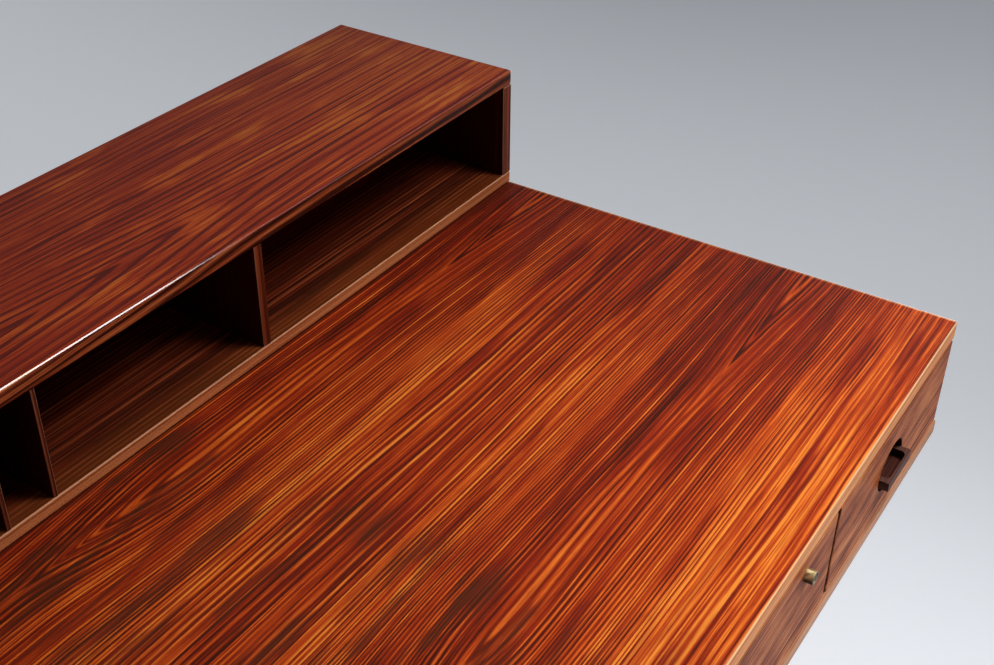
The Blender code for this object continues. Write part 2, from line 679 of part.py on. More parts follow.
def knuckle_spans(first):
    """Every other knuckle along the hinge, from the first one given."""
    length = (DESK_WIDTH - 2 * HINGE_END_GAP) / KNUCKLE_COUNT
    start = HINGE_END_GAP - X_END
    return [
        (start + i * length + KNUCKLE_GAP / 2, start + (i + 1) * length - KNUCKLE_GAP / 2)
        for i in range(first, KNUCKLE_COUNT, 2)
    ]


def make_leaf(name, first, way, carrier):
    """A hinge leaf: a strip with a comb of tabs, a knuckle on each tab, and a bore for the pin."""
    z_strip = Z_HINGE + way * LEAF_HEIGHT
    z_root = Z_HINGE + way * HINGE_NOTCH
    z_tab = Z_HINGE + way * PIN_RADIUS
    z_lap = z_root + way * LEAF_THICK
    half = X_END - HINGE_END_GAP
    y_low = Y_REAR - LEAF_THICK
    z_low, z_high = sorted((z_strip, z_root))
    leaf = box(name, (-half, y_low, z_low), (half, Y_REAR, z_high), carrier, BRASS)
    for index, (low, high) in enumerate(knuckle_spans(first)):
        tab = box(
            f"{name}_tab_{index}", (low + TAB_INSET, y_low, min(z_lap, z_tab)),
            (high - TAB_INSET, Y_REAR, max(z_lap, z_tab)), carrier,
        )
        knuckle = rod(
            f"{name}_knuckle_{index}", (low, Y_HINGE, Z_HINGE), (high, Y_HINGE, Z_HINGE),
            KNUCKLE_RADIUS, KNUCKLE_SIDES, carrier,
        )
        join(leaf, tab, smooth(knuckle))
    bore = rod(
        f"{name}_bore", (-X_END, Y_HINGE, Z_HINGE), (X_END, Y_HINGE, Z_HINGE),
        PIN_RADIUS + PIN_PLAY, PIN_SIDES, carrier,
    )
    cut(leaf, bore)


def make_hinge(flip):
    make_leaf("hinge_desk_leaf", 0, -1, CASE)
    make_leaf("hinge_organizer_leaf", 1, 1, flip)
    half = X_END - HINGE_END_GAP
    start = (-half, Y_HINGE, Z_HINGE)
    smooth(rod("hinge_pin", start, (half, Y_HINGE, Z_HINGE), PIN_RADIUS, PIN_SIDES, CASE, BRASS))


# Sled frames

Z_RAIL_HEAD = Z_CASE_FOOT - SEAT
Z_RAIL_FOOT = Z_RAIL_HEAD - RAIL_HEIGHT


def foot_outline():
    """A runner that thins towards its toes and is relieved between its two pads, as (Y, Z) points."""
    half = LEG_SPREAD / 2 + FOOT_OVERHANG
    inner = half - FOOT_TOE_LENGTH
    pad = half - FOOT_PAD_LENGTH
    return [
        (Y_MIDDLE - half, 0), (Y_MIDDLE - pad, 0), (Y_MIDDLE - pad + FOOT_RELIEF, FOOT_RELIEF),
        (Y_MIDDLE + pad - FOOT_RELIEF, FOOT_RELIEF), (Y_MIDDLE + pad, 0), (Y_MIDDLE + half, 0),
        (Y_MIDDLE + half, FOOT_TOE_HEIGHT), (Y_MIDDLE + inner, FOOT_HEIGHT),
        (Y_MIDDLE - inner, FOOT_HEIGHT), (Y_MIDDLE - half, FOOT_TOE_HEIGHT),
    ]


def make_frame(hand, x):
    """A runner, two tapered legs tenoned at both ends, and a rail under the case."""
    half = FRAME_THICK / 2
    foot = plate(f"{hand}_foot", foot_outline(), x - half, x + half, "X", CASE, ROSEWOOD)
    ease(foot, FRAME_ARRIS, 2)
    rail_half = LEG_SPREAD / 2 + RAIL_OVERHANG
    low = (x - half, Y_MIDDLE - rail_half, Z_RAIL_FOOT)
    rail = box(f"{hand}_rail", low, (x + half, Y_MIDDLE + rail_half, Z_RAIL_HEAD), CASE, ROSEWOOD)
    ease(rail, FRAME_ARRIS, 2)
    z_low = FOOT_HEIGHT + SEAT
    z_high = Z_RAIL_FOOT - SEAT
    for end, y in (("front", Y_MIDDLE - LEG_SPREAD / 2), ("rear", Y_MIDDLE + LEG_SPREAD / 2)):
        name = f"{hand}_{end}_leg"
        foot_half = LEG_FOOT_DEPTH / 2
        head_half = LEG_HEAD_DEPTH / 2
        outline = [(y - foot_half, z_low), (y + foot_half, z_low)]
        outline += [(y + head_half, z_high), (y - head_half, z_high)]
        leg = ease(plate(name, outline, x - half, x + half, "X", CASE, ROSEWOOD), FRAME_ARRIS, 2)
        low = Vector((x - TENON_THICK / 2, y - TENON_WIDTH / 2, z_low - TENON_LENGTH))
        high = Vector((x + TENON_THICK / 2, y + TENON_WIDTH / 2, z_high + TENON_LENGTH))
        join(leg, box(f"{name}_tenon", low, high, CASE))
        mortise = Vector((SEAT, SEAT, SEAT))
        cut(foot, box(f"{name}_foot_mortise", low - mortise, high + mortise, CASE))
        cut(rail, box(f"{name}_rail_mortise", low - mortise, high + mortise, CASE))


def main():
    make_desk_top()
    make_case()
    for name, span, left, right in zip(DRAWER_NAMES, SPANS, UPRIGHTS, UPRIGHTS[1:]):
        drawer, front = make_drawer(name, span, (left[1], right[0]))
        if name == LOCKED_DRAWER:
            make_lock(drawer, front)
    flip = joint_empty("organizer_flip", (0, Y_HINGE, Z_HINGE), CASE)
    make_organizer(flip)
    make_hinge(flip)
    make_frame("left", FRAME_INSET - X_END)
    make_frame("right", X_END - FRAME_INSET)


main()
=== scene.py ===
"""Looks of a rosewood flip-top writing desk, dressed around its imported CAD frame."""

import math
from collections import namedtuple

import bmesh
import bpy
from mathutils import Matrix, Vector


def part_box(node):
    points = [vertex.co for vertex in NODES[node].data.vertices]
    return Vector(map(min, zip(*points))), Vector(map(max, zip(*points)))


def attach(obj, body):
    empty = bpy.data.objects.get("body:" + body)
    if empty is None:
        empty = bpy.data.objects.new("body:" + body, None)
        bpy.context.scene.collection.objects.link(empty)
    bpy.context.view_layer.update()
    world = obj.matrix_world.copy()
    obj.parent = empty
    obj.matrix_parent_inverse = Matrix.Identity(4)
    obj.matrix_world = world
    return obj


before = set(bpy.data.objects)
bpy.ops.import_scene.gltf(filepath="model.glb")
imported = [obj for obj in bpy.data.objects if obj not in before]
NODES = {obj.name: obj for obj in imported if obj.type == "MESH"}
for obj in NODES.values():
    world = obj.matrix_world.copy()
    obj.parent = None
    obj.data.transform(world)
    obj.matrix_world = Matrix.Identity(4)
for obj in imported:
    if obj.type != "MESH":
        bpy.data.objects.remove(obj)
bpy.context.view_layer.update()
DRAWERS = ("left_drawer", "left_centre_drawer", "right_centre_drawer", "right_drawer")

# Shader expressions


def srgb(red, green, blue):
    """A colour as a picture editor gives it, from 0 to 255, in the linear values that a shader takes."""
    linear = []
    for level in (red / 255, green / 255, blue / 255):
        linear.append(level / 12.92 if level <= 0.04045 else ((level + 0.055) / 1.055) ** 2.4)
    return (*linear, 1.0)


class Value:
    """A number or colour that changes over a surface. Arithmetic on it adds Math nodes to its finish."""

    def __init__(self, finish, socket):
        self.finish = finish
        self.socket = socket

    def __add__(self, other):
        return self.finish.math("ADD", self, other)

    def __sub__(self, other):
        return self.finish.math("SUBTRACT", self, other)

    def __mul__(self, other):
        return self.finish.math("MULTIPLY", self, other)

    def __truediv__(self, other):
        return self.finish.math("DIVIDE", self, other)

    def __mod__(self, other):
        return self.finish.math("FLOORED_MODULO", self, other)

    def __pow__(self, other):
        return self.finish.math("POWER", self, other)

    def __rsub__(self, other):
        return self.finish.math("SUBTRACT", other, self)

    def __rtruediv__(self, other):
        return self.finish.math("DIVIDE", other, self)

    def __abs__(self):
        return self.finish.math("ABSOLUTE", self)

    __radd__ = __add__
    __rmul__ = __mul__


class Finish:
    """One material, or the world: its nodes are made by expressions and by the node method."""

    def __init__(self, name, world=None):
        self.material = world or bpy.data.materials.new(name)
        self.material.use_nodes = True
        self.tree = self.material.node_tree
        self.tree.nodes.clear()
        self.place = None

    def node(self, kind, settings=None, inputs=None, output=0):
        """Any node: its settings first, then the values or links of its sockets."""
        made = self.tree.nodes.new(kind)
        for key, value in (settings or {}).items():
            if key == "stops":
                self.set_stops(made.color_ramp, value)
            else:
                setattr(made, key, value)
        for key, value in (inputs or {}).items():
            self.feed(made.inputs[key], value)
        return Value(self, made.outputs[output]) if made.outputs else None

    @staticmethod
    def set_stops(ramp, stops):
        """Gives a colour ramp its (position, colour) stops."""
        while len(ramp.elements) < len(stops):
            ramp.elements.new(1.0)
        for element, (position, colour) in zip(ramp.elements, stops):
            element.position = position
            element.color = colour

    def feed(self, socket, value):
        """Links a socket to a changing value, or sets it to a constant."""
        if isinstance(value, Value):
            self.tree.links.new(value.socket, socket)
        else:
            socket.default_value = value

    def math(self, operation, *values):
        return self.node("ShaderNodeMath", {"operation": operation}, dict(enumerate(values)))

    def at(self):
        """X, Y and Z on the piece at rest, in metres, as it moves with its body."""
        if self.place is None:
            point = self.node("ShaderNodeTexCoord", output="Object")
            self.place = self.parts(point)
        return self.place

    def facing(self):
        """How far the surface faces along X, Y and Z, from 0 to 1 without a sign."""
        return [abs(part) for part in self.parts(self.node("ShaderNodeTexCoord", output="Normal"))]

    def parts(self, vector):
        return [self.node("ShaderNodeSeparateXYZ", None, {0: vector}, axis) for axis in range(3)]

    def noise(self, x, y=0.0, seed=0.0, detail=2.0):
        """Cloudy noise over two measures. Each seed gives another pattern."""
        point = self.node("ShaderNodeCombineXYZ", None, {0: x, 1: y, 2: seed})
        return self.node("ShaderNodeTexNoise", None, {
            "Vector": point, "Scale": 1.0, "Detail": detail, "Roughness": 0.5,
        })

    def rows(self, value, detail=1.0):
        """Uneven rows along one measure."""
        return self.node("ShaderNodeTexNoise", {"noise_dimensions": "1D"}, {
            "W": value, "Scale": 1.0, "Detail": detail, "Roughness": 0.5,
        })

    def ease(self, value, low, high):
        """0 below low, 1 above high, with a smooth rise between them."""
        return self.node("ShaderNodeMapRange", {"interpolation_type": "SMOOTHSTEP"}, {
            "Value": value, "From Min": low, "From Max": high,
        })

    def hump(self, value, middle, reach):
        """1 at the middle and 0 beyond its reach."""
        return 1 - self.ease(abs(value - middle), 0.0, reach)

    def ramp(self, value, stops):
        return self.node("ShaderNodeValToRGB", {"stops": stops}, {0: value})

    def mix(self, share, first, second):
        """One colour where the share is 0 and the other where it is 1."""
        return self.node("ShaderNodeMix", {"data_type": "RGBA"}, {0: share, 6: first, 7: second}, 2)

    def choose(self, mask, off, on):
        """One number where the mask is 0 and the other where it is 1."""
        return off + (on - off) * mask

    def surface(self, sockets):
        """The shader that shows, from the values or links of its sockets."""
        shader = self.node("ShaderNodeBsdfPrincipled", None, sockets)
        self.node("ShaderNodeOutputMaterial", None, {"Surface": shader})
        return self.material

    def bump(self, height, depth):
        """A normal that follows a height from 0 to 1, with its depth in metres."""
        return self.node("ShaderNodeBump", None, {"Height": height, "Strength": 1.0, "Distance": depth})


# Rosewood

Cut = namedtuple("Cut", "middle leaf crown reach swells")
# A lip's last field is the share of a painted highlight on its arris.
Lip = namedtuple("Lip", "axis shift worn", defaults=(0.0,))
Outside = namedtuple("Outside", "axis place shift")
AXES = "xyz"
RING_PITCH = 0.0056
ROSEWOOD_TONES = (
    (0.00, srgb(246, 146, 54)),
    (0.20, srgb(230, 108, 34)),
    (0.42, srgb(190, 68, 20)),
    (0.66, srgb(140, 36, 12)),
    (1.00, srgb(66, 18, 9)),
)
BROWN_TONES = (
    (0.00, srgb(214, 138, 86)),
    (0.25, srgb(184, 104, 58)),
    (0.50, srgb(150, 72, 38)),
    (0.75, srgb(106, 42, 22)),
    (1.00, srgb(56, 21, 12)),
)
DESK_BANDS = (
    (0.00, 0.50), (0.06, 0.45), (0.12, 0.36), (0.17, 0.31), (0.25, 0.33), (0.34, 0.50), (0.46, 0.45),
    (0.58, 0.58), (0.66, 0.62), (0.72, 0.42), (0.80, 0.34), (0.86, 0.30), (0.91, 0.46), (1.00, 0.50),
)
LIPPING_TONES = (
    (0.00, srgb(248, 178, 116)),
    (0.45, srgb(228, 145, 90)),
    (1.00, srgb(158, 90, 54)),
)
STRIP_TONES = (
    (0.00, srgb(222, 170, 134)),
    (0.45, srgb(194, 136, 102)),
    (1.00, srgb(136, 86, 58)),
)
# Pale colour of the painted highlight on the arrises of lipped edges.
ARRIS_HIGHLIGHT = srgb(226, 176, 140)
SKIN_DEPTH = 0.0012
DESK_LEVEL = 0.725
DESK_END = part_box("desk_top")[1].x
DESK_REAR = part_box("desk_top")[1].y
END_BAND = 0.0045
END_BAND_BLEND = 0.0015
ORGANIZER_LEVEL = 0.860
ORGANIZER_LIP_MIDDLE = 0.8535
ORGANIZER_LIP_BLEND = 0.002
ORGANIZER_RING_PITCH = 0.0098
ORGANIZER_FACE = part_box("organizer_floor")[0].y
ORGANIZER_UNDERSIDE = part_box("organizer_floor")[0].z
DESK_CUT = Cut(
    0.0975, 0.315, 0.0016, 0.11, ((-0.62, 0.30, 0.024), (0.04, 0.19, 0.022), (0.50, 0.36, 0.014)),
)
ORGANIZER_CUT = Cut(0.203, 0.60, 0.002, 0.14, ((-0.60, 0.40, 0.030), (0.0, 0.58, -0.044)))
FRONT_CUT = Cut(0.640, 0.40, 0.006, 0.10, ((-0.60, 0.40, 0.024), (0.10, 0.30, 0.020)))
BACK_CUT = Cut(0.655, 0.40, 0.006, 0.10, ((-0.45, 0.40, 0.030), (0.25, 0.40, 0.020)))


def board_grain(finish, grain, ends_along):
    """Measures along and across the grain on every side of a board. On its ends the grain turns."""
    place = finish.at()
    facing = finish.facing()
    lengthwise = AXES.index(grain)
    crosswise = [axis for axis in range(3) if axis != lengthwise]
    on_end = finish.ease(facing[lengthwise], 0.55, 0.75)
    turned = AXES.index(ends_along)
    other = next(axis for axis in crosswise if axis != turned)
    along = finish.choose(on_end, place[lengthwise], place[turned])
    girth = place[crosswise[0]] + place[crosswise[1]]
    across = finish.choose(on_end, girth, place[other] + place[lengthwise])
    return along, across


def straight_rings(finish, along, across, seed):
    """Rings of a board sawn straight down the grain, with a slow sway."""
    sway = finish.noise(along * 0.9, across * 5.0, seed) - 0.5
    ripple = finish.noise(along * 11.0, across * 60.0, seed + 5.0) - 0.5
    return across + sway * 0.008 + ripple * 0.0014, across


def arched_rings(finish, along, across, cut, seed):
    """Rings of a leaf of veneer sliced across the crown: nested arches about the middle of each leaf."""
    leaf = (across - cut.middle + cut.leaf / 2) % cut.leaf - cut.leaf / 2
    sway = finish.noise(along * 1.5, leaf * 5.0, seed) - 0.5
    ripple = finish.noise(along * 16.0, leaf * 50.0, seed + 5.0, 3.0) - 0.5
    bent = leaf + sway * 0.028 + ripple * 0.0010
    climb = finish.noise(along * 2.4, 0.0, seed + 13.0) * 0.012
    for place, length, height in cut.swells:
        climb = climb + finish.ease(along, place, place + length) * height
    inner = 1 - finish.ease(abs(leaf), 0.02, cut.reach)
    return (bent * bent + cut.crown ** 2) ** 0.5 + bent * 0.12 - climb * inner, leaf


def rosewood_figure(finish, along, across, cut, seed, pitch=RING_PITCH, bold=1.0):
    """How dark the wood is, its place across the leaf, and its open pores. bold scales its dark lines."""
    if cut is None:
        ring, leaf = straight_rings(finish, along, across, seed)
    else:
        ring, leaf = arched_rings(finish, along, across, cut, seed)
    uneven = ring + (finish.rows(ring * 48 + seed) - 0.5) * 0.008
    phase = (uneven / pitch) % 1.0
    line = finish.hump(phase, 0.55, 0.40) - 0.38
    weight = finish.ease(finish.noise(along * 2.6, ring * 130.0, seed + 3.7), 0.30, 0.70)
    hair = finish.ease(finish.noise(along * 2.0, ring * 420.0, seed + 19.0, 1.0), 0.55, 0.66)
    streak = finish.ease(finish.noise(along * 2.4, ring * 210.0, seed + 15.0, 1.0), 0.54, 0.74)
    fine = finish.noise(along * 1.3, ring * 430.0, seed + 9.1, 1.0) - 0.5
    broad = finish.rows(ring * 44 + seed + 1.3) - 0.5
    blot = finish.noise(along * 11.0, leaf * 70.0, seed + 6.0, 3.0) - 0.5
    thread = finish.noise(along * 18.0, across * 1000.0, seed, 3.0) - 0.5
    smoke = finish.ease(finish.noise(along * 5.0, leaf * 60.0, seed + 11.0, 4.0), 0.52, 0.68)
    pores = finish.ease(finish.noise(along * 70.0, across * 1700.0, seed + 2.0, 1.0), 0.60, 0.72)
    dark = (
        0.37 + line * (weight * 0.40 + 0.20) * bold + hair * 0.24 + fine * 1.3 + broad * 0.30 + blot * 0.40
        + thread * 0.75 + smoke * 0.23 + pores * 0.16 - streak * 0.28
    )
    return dark, leaf, pores


def wood_surface(finish, colour, dark, pores, rough, shine=0.12, polish=0.0):
    """An oiled wood: satin, slightly open-grained, rougher in its pores, and polished where hands rub it."""
    height = 1 - pores * 0.8 - dark * 0.25
    return finish.surface({
        "Base Color": colour,
        "Roughness": rough + pores * 0.15 + dark * 0.05,
        "Specular IOR Level": shine,
        "Coat Weight": polish,
        "Coat Roughness": 0.12,
        "Coat IOR": 1.8,
        "Normal": finish.bump(height, 0.00012),
    })


def board_edge(face):
    """1 on the edges of a level board and 0 on its broad faces, from how far it faces along Z."""
    return 1 - face.finish.ease(face, 0.25, 0.80)


def arris_band(face):
    """1 on the eased corner between a level board's face and its edge."""
    return face.finish.hump(face, 0.66, 0.36)


def lipped(finish, colour, axis, lipping, worn):
    """A board's colour with a lip on the edges that face along an axis, and a pale painted highlight on its
    arris.
    """
    face = finish.facing()[AXES.index(axis)]
    colour = finish.mix(finish.ease(face, 0.45, 0.75), colour, lipping)
    return finish.mix(finish.hump(face, 0.70, 0.20) * worn, colour, ARRIS_HIGHLIGHT)


def desk_veneer():
    """The writing surface: slip-matched leaves, a dark heart band in each, and pale lipped edges."""
    finish = Finish("desk_veneer")
    along, across = board_grain(finish, "x", "y")
    x, y, _ = finish.at()
    # A band along the front edge is paler, with weaker dark lines and fine streaks.
    worn = 1 - finish.ease(y, -0.37, -0.27)
    dark, leaf, pores = rosewood_figure(
        finish, along, across - DESK_LEVEL, DESK_CUT, 4.0, bold=1.0 - worn * 0.5,
    )
    stops = [(place, (tone, tone, tone, 1.0)) for place, tone in DESK_BANDS]
    band = finish.ramp(leaf / DESK_CUT.leaf + 0.5, stops)
    clouds = finish.noise(along * 9.0, leaf * 44.0, 17.0)
    flecks = finish.noise(along * 15.0, leaf * 340.0, 19.0, 3.0)
    middle = finish.ease(along, -0.10, 0.10) * (1 - finish.ease(along, 0.25, 0.31))
    stained = middle * finish.ease(clouds * 0.6 + flecks * 0.4, 0.46, 0.62)
    scratch = finish.noise(along * 5.0, across * 360.0, 41.0, 1.0) - 0.5
    # The last term darkens the veneer towards the right end: painted falloff of light.
    dark = dark + band - 0.33 + stained * 0.22 + finish.ease(along, 0.40, 0.78) * 0.21
    dark = dark + worn * (scratch * 1.1 - 0.24)
    crimson = finish.ease(finish.noise(along * 9.0, leaf * 120.0, 23.0, 3.0), 0.48, 0.66)
    veneer = finish.mix(crimson * 0.38, finish.ramp(dark, ROSEWOOD_TONES), srgb(146, 28, 16))
    veneer = finish.mix(stained * 0.50, veneer, srgb(84, 44, 24))
    lipping = finish.ramp(dark, LIPPING_TONES)
    # Painted contact shadow: a dark line on the desk top along the organizer's front face.
    painted_contact_shadow = finish.hump(y, ORGANIZER_FACE, 0.005)
    veneer = finish.mix(painted_contact_shadow * 0.75, veneer, srgb(58, 10, 6))
    face = finish.facing()[2]
    end_band = finish.ease(abs(x), DESK_END - END_BAND, DESK_END - END_BAND + END_BAND_BLEND)
    # A pale painted highlight on the eased arris, which also gets a clear polish coat.
    arris_highlight_and_polish = arris_band(face)
    colour = finish.mix(finish.math("MAXIMUM", board_edge(face), end_band), veneer, lipping)
    colour = finish.mix(arris_highlight_and_polish * 0.85, colour, srgb(255, 214, 160))
    return wood_surface(finish, colour, dark, pores, 0.40, 0.035, arris_highlight_and_polish)


def organizer_veneer():
    """The organizer's top board: one crown-cut leaf, redder than the desk, with lipped edges."""
    finish = Finish("organizer_veneer")
    along, across = board_grain(finish, "x", "y")
    _, y, z = finish.at()
    near = 1 - finish.ease(y, 0.23, 0.30)
    bold = 0.7 + near * (1.6 - finish.ease(along, 0.45, 0.80) * 0.8)
    dark, _, pores = rosewood_figure(
        finish, along, across - ORGANIZER_LEVEL, ORGANIZER_CUT, 21.0, ORGANIZER_RING_PITCH, bold,
    )
    orange = finish.ease(finish.noise(along * 9.0, across * 40.0, 27.0, 4.0), 0.50, 0.66)
    thread = finish.noise(along * 5.0, across * 900.0, 33.0) - 0.5
    tone = finish.math("MAXIMUM", dark, 0.34) * 0.95 + 0.15 + thread * 1.6
    tone = tone - orange * 0.26 - finish.ease(along, 0.40, 0.80) * 0.20
    # The mauve mix mutes the red: partly the wood's own tone, partly a painted grazing sheen.
    veneer = finish.mix(0.34, finish.ramp(tone, ROSEWOOD_TONES), srgb(140, 52, 40))
    # The lower half of the front edge is painted lighter: a painted reflection of the desk top below it.
    under = 1 - finish.ease(
        z, ORGANIZER_LIP_MIDDLE - ORGANIZER_LIP_BLEND, ORGANIZER_LIP_MIDDLE + ORGANIZER_LIP_BLEND,
    )
    lipping = finish.ramp(dark + 0.40 - under * 0.16, BROWN_TONES)
    face = finish.facing()[2]
    colour = finish.mix(board_edge(face), veneer, lipping)
    return wood_surface(finish, colour, dark, pores, 0.30, 0.05, arris_band(face))


def organizer_floor_wood():
    """The organizer's floor: painted dark inside as shade, painted lighter towards its pale lip as light, and
    veneered below, where it flips up to write on.
    """
    finish = Finish("organizer_floor_wood")
    along, across = board_grain(finish, "x", "y")
    dark, _, pores = rosewood_figure(finish, along, across, None, 31.0)
    _, y, z = finish.at()
    # Painted light: the floor is lighter near its front edge.
    painted_light_near_front = 1 - finish.ease(y, ORGANIZER_FACE, ORGANIZER_FACE + 0.04)
    red = finish.ease(finish.noise(along * 6.0, across * 60.0, 35.0, 3.0), 0.48, 0.66)
    # Painted shade: inside the cubbies the floor takes a darker tone.
    inside = finish.mix(red * 0.45, finish.ramp(dark * 0.8 + 0.50, BROWN_TONES), srgb(112, 36, 18))
    inside = finish.mix(painted_light_near_front * 0.32, inside, srgb(146, 76, 30))
    veneer = finish.ramp(dark + 0.10, ROSEWOOD_TONES)
    colour = finish.mix(finish.hump(z, ORGANIZER_UNDERSIDE, SKIN_DEPTH), inside, veneer)
    speck = finish.noise(along * 700.0, z * 700.0, 37.0) - 0.5
    lipping = finish.ramp(dark * 0.8 + speck * 1.6 + 0.16, LIPPING_TONES)
    lipping = finish.mix(0.35, lipping, srgb(190, 84, 40))
    # The lip gets a painted highlight on its arris.
    colour = lipped(finish, colour, "y", lipping, 0.5)
    return wood_surface(finish, colour, dark, pores, 0.40, 0.06)


def rosewood_board(
    name, grain, seed, ends_along, tones, shift=0.0, cut=None, figure=1.0, lip=None, outside=None,
    rough=0.40, mottle=0.0,
):
    """A plain rosewood board. Its lip, the edges along one axis, and its outside can differ from the rest."""
    finish = Finish(name)
    along, across = board_grain(finish, grain, ends_along)
    dark, _, pores = rosewood_figure(finish, along, across, cut, seed)
    patches = finish.noise(along * 14.0, across * 60.0, seed + 31.0, 3.0) - 0.5
    dark = (dark - 0.4) * figure + 0.4 + patches * mottle
    colour = finish.ramp(dark + shift, tones)
    if outside is not None:
        place = abs(finish.at()[AXES.index(outside.axis)])
        skin = finish.hump(place, outside.place, SKIN_DEPTH)
        colour = finish.mix(skin, colour, finish.ramp(dark + outside.shift, tones))
    if lip is not None:
        colour = lipped(finish, colour, lip.axis, finish.ramp(dark + lip.shift, tones), lip.worn)
    return wood_surface(finish, colour, dark, pores, rough, 0.06)


PULL_LOW, PULL_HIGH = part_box("right_drawer_pull")
PULL_MIDDLE = (PULL_LOW.z + PULL_HIGH.z) / 2
PULL_BACKING = 0.004
PULL_BACKING_FACE = PULL_BACKING - PULL_HIGH.y


def pull_wood():
    """Dark heartwood of the pulls, polished by hand to a soft shine, with painted light on the outer front
    face and a painted highlight on the top faces.
    """
    finish = Finish("pull_heartwood")
    x, y, z = finish.at()
    ring = z + y * 0.6 + finish.noise(x * 9.0, z * 30.0, 3.0) * 0.006
    line = finish.ease(finish.rows(ring * 700), 0.35, 0.65)
    pores = finish.ease(finish.noise(x * 120.0, z * 1500.0 + y * 1500.0, 8.0, 1.0), 0.60, 0.70)
    colour = finish.mix(line, srgb(38, 16, 12), srgb(84, 44, 34))
    face = finish.facing()
    # Painted light: the outer front face is lighter, and the top faces above the middle get a painted
    # highlight.
    outer = finish.ease(-1.0 * y, PULL_BACKING_FACE, PULL_BACKING_FACE + 0.002)
    front = finish.ease(face[1], 0.60, 0.90) * outer
    rim = finish.ease(face[2], 0.60, 0.90) * finish.ease(z, PULL_MIDDLE, PULL_MIDDLE + 0.001)
    colour = finish.mix(front * 0.10, colour, srgb(134, 84, 68))
    colour = finish.mix(rim * 0.14, colour, srgb(168, 122, 110))
    return wood_surface(finish, colour, line, pores, 0.40, 0.06)


def pale_wood(name, grain, seed, light, mid, deep):
    """Sealed pale hardwood of the drawer boxes: quiet grain with fine flecks."""
    finish = Finish(name)
    along, across = board_grain(finish, grain, "z")
    sway = finish.noise(along * 1.5, across * 7.0, seed) - 0.5
    ring = across + sway * 0.020
    line = finish.rows(ring * 170 + seed, 2.0)
    thread = finish.noise(along * 14.0, across * 1100.0, seed + 4.0)
    pores = finish.ease(finish.noise(along * 90.0, across * 1500.0, seed + 7.0, 1.0), 0.60, 0.70)
    soil = finish.ease(finish.noise(along * 3.0, across * 3.0, seed + 9.0, 4.0), 0.45, 0.80)
    tone = line * 0.6 + thread * 0.4 + pores * 0.15 + soil * 0.12
    colour = finish.ramp(tone, ((0.25, light), (0.55, mid), (0.90, deep)))
    height = 1 - pores * 0.7 - line * 0.2
    return finish.surface({
        "Base Color": colour,
        "Roughness": 0.46 + pores * 0.15,
        "Specular IOR Level": 0.35,
        "Normal": finish.bump(height, 0.00010),
    })


# Metals


def painted_shade_below(finish):
    """Painted shade on what faces down, from 0 to 1."""
    up = finish.parts(finish.node("ShaderNodeTexCoord", output="Normal"))[2]
    return 1 - finish.ease(up, -0.15, 0.55)


def turned_brass(name, bright, dull, painted_shade):
    """Old brass: fine tool marks, a brown tarnish in patches, and painted shade on its ends and below."""
    finish = Finish(name)
    x, y, z = finish.at()
    marks = finish.rows(y * 5200 + x * 300, 2.0)
    patches = finish.ease(finish.noise(x * 260.0, z * 260.0 + y * 200.0, 1.0, 4.0), 0.42, 0.70)
    spots = finish.ease(finish.noise(x * 1400.0, z * 1400.0 + y * 900.0, 5.0, 2.0), 0.62, 0.72)
    colour = finish.mix(patches, bright, dull)
    # Painted shade on the down-facing side and the end faces, scaled by the last argument.
    under = painted_shade_below(finish)
    ends = finish.ease(finish.facing()[1], 0.80, 0.95)
    colour = finish.mix(spots * 0.6, colour, srgb(72, 56, 34))
    colour = finish.mix(ends * 0.55 * painted_shade, colour, srgb(84, 70, 44))
    colour = finish.mix(under * painted_shade, colour, srgb(58, 46, 26))
    return finish.surface({
        "Base Color": colour,
        "Metallic": 1.0,
        "Roughness": 0.28 + marks * 0.14 + patches * 0.10,
        "Normal": finish.bump(marks * 0.6 - spots * 0.4, 0.00004),
    })


def bolt_steel():
    """Plain drawn steel with length marks and a few dull spots."""
    finish = Finish("bolt_steel")
    x, y, z = finish.at()
    marks = finish.noise(x * 3000.0 + y * 3000.0, z * 60.0, 2.0)
    dull = finish.ease(finish.noise(x * 400.0, z * 400.0 + y * 300.0, 6.0, 3.0), 0.45, 0.75)
    colour = finish.mix(dull, srgb(190, 190, 186), srgb(140, 138, 132))
    return finish.surface({
        "Base Color": colour,
        "Metallic": 1.0,
        "Roughness": 0.30 + dull * 0.16,
        "Normal": finish.bump(marks, 0.00003),
    })


# Dress the CAD nodes

LOCK_BRASS = turned_brass("lock_brass", srgb(214, 200, 152), srgb(150, 132, 88), 1.0)
HINGE_BRASS = turned_brass("hinge_brass", srgb(222, 186, 108), srgb(164, 128, 66), 0.0)
FINISHES = {
    "desk_top": desk_veneer(),
    "organizer_top": organizer_veneer(),
    "organizer_floor": organizer_floor_wood(),
    "lock_barrel": LOCK_BRASS,
    "lock_plug": LOCK_BRASS,
    "hinge_desk_leaf": HINGE_BRASS,
    "hinge_organizer_leaf": HINGE_BRASS,
    "hinge_pin": HINGE_BRASS,
    "lock_bolt": bolt_steel(),
}


def dress(finish, *names):
    """Gives nodes of the frame a finish."""
    for name in names:
        FINISHES[name] = finish


ENDS = ("left", "right")
